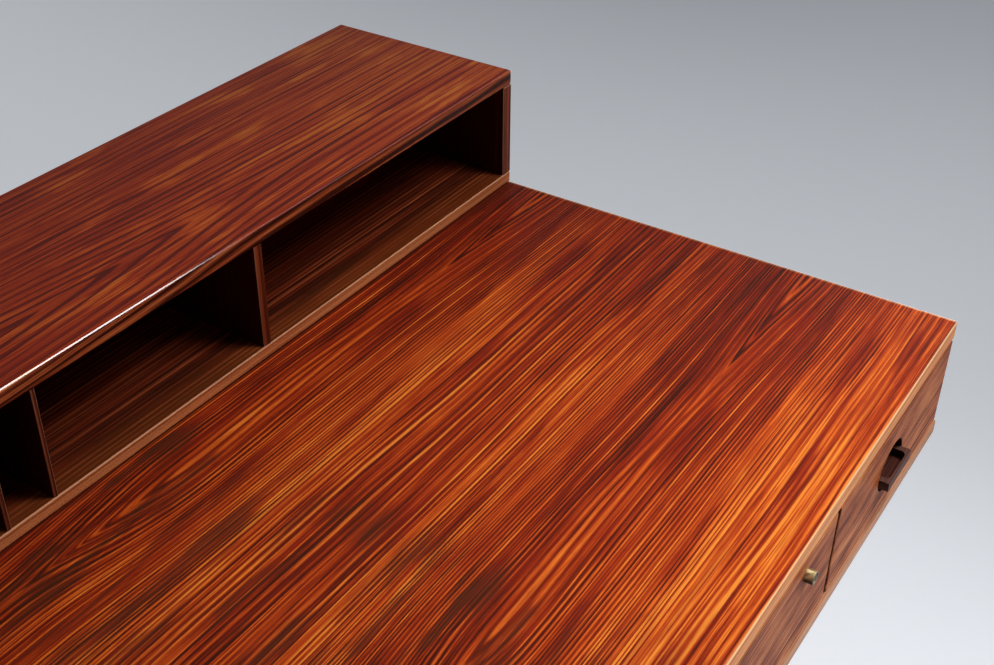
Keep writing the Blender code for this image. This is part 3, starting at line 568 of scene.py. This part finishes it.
# Painted shade: the organizer's boards take a dark tone on their inner faces, while their front edges and
# outer faces keep a lighter one; the front edges also get a painted highlight on their arrises.
UPRIGHT_LIP = Lip("y", 0.34, 0.35)
DRAWER_TONES = (srgb(214, 178, 130), srgb(190, 148, 98), srgb(150, 108, 66))
PLYWOOD_TONES = (srgb(206, 160, 108), srgb(182, 132, 82), srgb(142, 96, 56))
dress(
    rosewood_board(
        "organizer_back_board", "x", 37.0, "z", BROWN_TONES, 0.50, figure=0.7,
        outside=Outside("y", DESK_REAR, 0.10),
    ),
    "organizer_back",
)
dress(
    rosewood_board(
        "organizer_end", "z", 43.0, "y", BROWN_TONES, 0.72, figure=0.5, lip=UPRIGHT_LIP,
        outside=Outside("x", DESK_END, 0.10),
    ),
    *[f"organizer_{end}_side" for end in ENDS],
)
dress(
    rosewood_board("organizer_upright", "z", 47.0, "y", BROWN_TONES, 0.68, figure=0.4, lip=UPRIGHT_LIP),
    *[f"organizer_{end}_divider" for end in ENDS],
    *[f"letter_divider_{count}" for count in range(1, 8)],
)
# Painted shade: all faces of the drawer fronts except the front and back, such as the ends, the gap walls and
# the pull recesses, take a dark tone.
dress(
    rosewood_board(
        "front_veneer", "x", 52.0, "z", BROWN_TONES, 0.80, FRONT_CUT, lip=Lip("y", 0.0),
        rough=0.45, mottle=1.4,
    ),
    *[f"{drawer}_front" for drawer in DRAWERS],
)
dress(rosewood_board("bottom_board", "x", 58.0, "y", STRIP_TONES, 0.05, figure=0.8), "case_bottom")
dress(rosewood_board("back_veneer", "x", 61.0, "z", ROSEWOOD_TONES, 0.05, BACK_CUT), "back_panel")
dress(rosewood_board("end_veneer", "y", 67.0, "z", BROWN_TONES, 0.0), *[f"{end}_side" for end in ENDS])
dress(
    rosewood_board("inner_board", "y", 71.0, "z", BROWN_TONES, 0.30),
    *[f"{place}_partition" for place in ("left", "centre", "right")],
)
dress(
    rosewood_board("leg_wood", "z", 76.0, "y", ROSEWOOD_TONES, 0.08),
    *[f"{end}_{place}_leg" for end in ENDS for place in ("front", "rear")],
)
dress(
    rosewood_board("runner_wood", "y", 83.0, "x", ROSEWOOD_TONES, 0.08),
    *[f"{end}_{kind}" for end in ENDS for kind in ("foot", "rail")],
)
dress(pull_wood(), *[f"{drawer}_pull" for drawer in DRAWERS])
dress(
    pale_wood("drawer_side_wood", "y", 5.0, *DRAWER_TONES),
    *[f"{drawer}_{end}_side" for drawer in DRAWERS for end in ENDS],
)
dress(
    pale_wood("drawer_back_wood", "x", 8.0, *DRAWER_TONES),
    *[f"{drawer}_back" for drawer in DRAWERS],
)
dress(
    pale_wood("drawer_bottom_ply", "x", 13.0, *PLYWOOD_TONES),
    *[f"{drawer}_bottom" for drawer in DRAWERS],
)
for node, finish in FINISHES.items():
    for slot in NODES[node].material_slots:
        slot.material = finish

# Hinge screws

SCREWS_PER_LEAF = 11
SCREW_RADIUS = 0.0028
SCREW_RIM = 0.0004
SCREW_PROUD = 0.00025
SCREW_SUNK = 0.0005
SCREW_SLOT = 0.0004
SCREW_SIDES = 28
SCREW_INSET = 0.0044
SCREW_TURN = 0.7


def screw_head(mesh, x, y, z, turn):
    """A countersunk slotted head that faces +Y, as two halves beside its slot."""
    steps = SCREW_SIDES // 2
    outline = []
    for step in range(steps + 1):
        angle = math.pi * step / steps
        outline.append((math.cos(angle) * SCREW_RADIUS, max(math.sin(angle) * SCREW_RADIUS, SCREW_SLOT)))
    inner = 1 - SCREW_RIM / SCREW_RADIUS
    levels = ((1.0, -SCREW_SUNK), (1.0, SCREW_PROUD - SCREW_RIM / 2), (inner, SCREW_PROUD))
    for spin in (turn, turn + math.pi):
        rings = []
        for share, depth in levels:
            ring = []
            for across, up in outline:
                a = across * share
                b = max(up * share, SCREW_SLOT)
                px = a * math.cos(spin) - b * math.sin(spin)
                pz = a * math.sin(spin) + b * math.cos(spin)
                ring.append(mesh.verts.new((x - px, y + depth, z + pz)))
            rings.append(ring)
        for low, high in zip(rings, rings[1:]):
            count = len(low)
            for step in range(count):
                after = (step + 1) % count
                mesh.faces.new((low[step], low[after], high[after], high[step]))
        mesh.faces.new(rings[-1])
        mesh.faces.new(list(reversed(rings[0])))


def hinge_screws(name, leaf, body, first_turn):
    """A row of screw heads along a hinge leaf, near its edge away from the knuckles."""
    low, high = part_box(leaf)
    z = high.z - SCREW_INSET if body == "organizer" else low.z + SCREW_INSET
    y = NODES["desk_top"].bound_box[6][1]
    mesh = bmesh.new()
    span = (high.x - low.x) / SCREWS_PER_LEAF
    for count in range(SCREWS_PER_LEAF):
        x = low.x + span * (count + 0.5)
        screw_head(mesh, x, y, z, SCREW_TURN * count + first_turn)
    bmesh.ops.recalc_face_normals(mesh, faces=mesh.faces)
    data = bpy.data.meshes.new(name)
    mesh.to_mesh(data)
    mesh.free()
    piece = bpy.data.objects.new(name, data)
    bpy.context.scene.collection.objects.link(piece)
    data.materials.append(HINGE_BRASS)
    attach(piece, body)


hinge_screws("hinge_desk_screws", "hinge_desk_leaf", "case", 1.3)
hinge_screws("hinge_organizer_screws", "hinge_organizer_leaf", "organizer", 0.4)

# Floor and surroundings

FLOOR_REACH = 40.0
BACKDROP = srgb(158, 162, 169)


def seen_rays(finish):
    """1 for rays that show a surface to the camera, in gloss or through glass, and 0 for those that light."""
    kinds = ("Is Camera Ray", "Is Glossy Ray", "Is Transmission Ray")
    camera, glossy, through = [finish.node("ShaderNodeLightPath", output=kind) for kind in kinds]
    return finish.math("MINIMUM", camera + glossy + through, 1.0)


def studio_floor():
    """Pale grey paper that darkens away from the camera as a painted falloff of light, is shown a little
    lighter and ends in haze.
    """
    finish = Finish("studio_paper")
    x, y, _ = finish.at()
    # Painted falloff of light: the paper darkens with distance.
    far = finish.ease(x - abs(y - 0.3) * 0.1, 1.0, 4.1)
    mottle = (finish.noise(x * 2.0, y * 2.0, 1.0, 3.0) - 0.5) * 0.02
    colour = finish.mix(far + mottle, srgb(229, 233, 239), srgb(168, 172, 179))
    matt = {"Base Color": colour, "Roughness": 0.8, "Specular IOR Level": 0.2}
    paper = finish.node("ShaderNodeBsdfPrincipled", None, matt)
    glow = {"Emission Color": colour, "Emission Strength": 0.50}
    lit = finish.node("ShaderNodeBsdfPrincipled", None, {**matt, **glow})
    haze = finish.node("ShaderNodeEmission", None, {"Color": BACKDROP})
    away = finish.ease((x * x + y * y) ** 0.5, 6.0, 14.0)
    hazy = finish.node("ShaderNodeMixShader", None, {0: away, 1: lit, 2: haze})
    shown = finish.node("ShaderNodeMixShader", None, {0: seen_rays(finish), 1: paper, 2: hazy})
    finish.node("ShaderNodeOutputMaterial", None, {"Surface": shown})
    return finish.material


sheet = bpy.data.meshes.new("floor")
corners = [(x * FLOOR_REACH, y * FLOOR_REACH, 0) for x, y in ((-1, -1), (1, -1), (1, 1), (-1, 1))]
sheet.from_pydata(corners, [], [(0, 1, 2, 3)])
sheet.materials.append(studio_floor())
floor = bpy.data.objects.new("floor", sheet)
bpy.context.scene.collection.objects.link(floor)

# Light


def softbox(name, place, aim, size, watts, spread=180):
    """A rectangular lamp that faces a point, with its spread in degrees."""
    lamp = bpy.data.lights.new(name, "AREA")
    lamp.shape = "RECTANGLE"
    lamp.size, lamp.size_y = size
    lamp.energy = watts
    lamp.spread = math.radians(spread)
    box = bpy.data.objects.new(name, lamp)
    box.location = place
    box.rotation_euler = (Vector(aim) - Vector(place)).to_track_quat("-Z", "Y").to_euler()
    bpy.context.scene.collection.objects.link(box)


softbox("key_softbox", (1.10, -0.92, 2.28), (0.36, -0.60, 0.72), (0.8, 0.7), watts=7.6, spread=78)
softbox("overhead_softbox", (0.0, 0.3, 4.5), (0.0, 0.1, 0.7), (4.0, 3.0), watts=9.0)
softbox("low_front_fill", (0.6, -2.3, 0.35), (0.4, 0.0, 0.62), (2.0, 0.5), watts=3.5, spread=90)
softbox("rear_fill", (-1.8, 3.6, 1.8), (0.0, 0.3, 0.5), (1.8, 1.4), watts=14.0)
softbox("left_fill", (-3.4, 0.2, 0.50), (-0.8, 0.0, 0.45), (1.6, 0.6), watts=10.0)
softbox("right_fill", (6.0, 0.3, 0.90), (0.8, 0.0, 0.60), (1.6, 1.0), watts=6.0, spread=40)


def studio_world():
    """Faint even light from all round, shown as the pale backdrop."""
    world = bpy.data.worlds.new("studio")
    sky = Finish("studio", world)
    light = sky.node("ShaderNodeBackground", None, {"Color": (0.92, 0.95, 1.0, 1.0), "Strength": 0.05})
    backdrop = sky.node("ShaderNodeBackground", None, {"Color": BACKDROP})
    shown = sky.node("ShaderNodeMixShader", None, {0: seen_rays(sky), 1: light, 2: backdrop})
    sky.node("ShaderNodeOutputWorld", None, {"Surface": shown})
    bpy.context.scene.world = world


studio_world()

# Camera

CAMERA_PLACE = Vector((-0.3615, -0.59175, 1.4602))
CAMERA_AZIMUTH = math.radians(57.28)
CAMERA_TILT = math.radians(34.36)
CAMERA_ROLL = math.radians(-0.53)
FOCAL_PIXELS = 1367.6
PICTURE_WIDTH = 994
SENSOR_WIDTH = 36.0


def photo_camera():
    """The camera that was fitted to the edges in the photo."""
    lens = bpy.data.cameras.new("photo_camera")
    lens.sensor_fit = "HORIZONTAL"
    lens.sensor_width = SENSOR_WIDTH
    lens.lens = FOCAL_PIXELS / PICTURE_WIDTH * SENSOR_WIDTH
    lens.clip_start = 0.01
    lens.clip_end = 100.0
    ahead = Vector((
        math.sin(CAMERA_AZIMUTH) * math.cos(CAMERA_TILT),
        math.cos(CAMERA_AZIMUTH) * math.cos(CAMERA_TILT),
        -math.sin(CAMERA_TILT),
    ))
    level = Vector((math.cos(CAMERA_AZIMUTH), -math.sin(CAMERA_AZIMUTH), 0.0))
    down = ahead.cross(level)
    right = level * math.cos(CAMERA_ROLL) + down * math.sin(CAMERA_ROLL)
    up = level * math.sin(CAMERA_ROLL) - down * math.cos(CAMERA_ROLL)
    camera = bpy.data.objects.new("photo_camera", lens)
    turn = Matrix((right, up, -ahead)).transposed().to_4x4()
    camera.matrix_world = Matrix.Translation(CAMERA_PLACE) @ turn
    bpy.context.scene.collection.objects.link(camera)
    bpy.context.scene.camera = camera


photo_camera()
bpy.context.scene.view_settings.view_transform = "Standard"
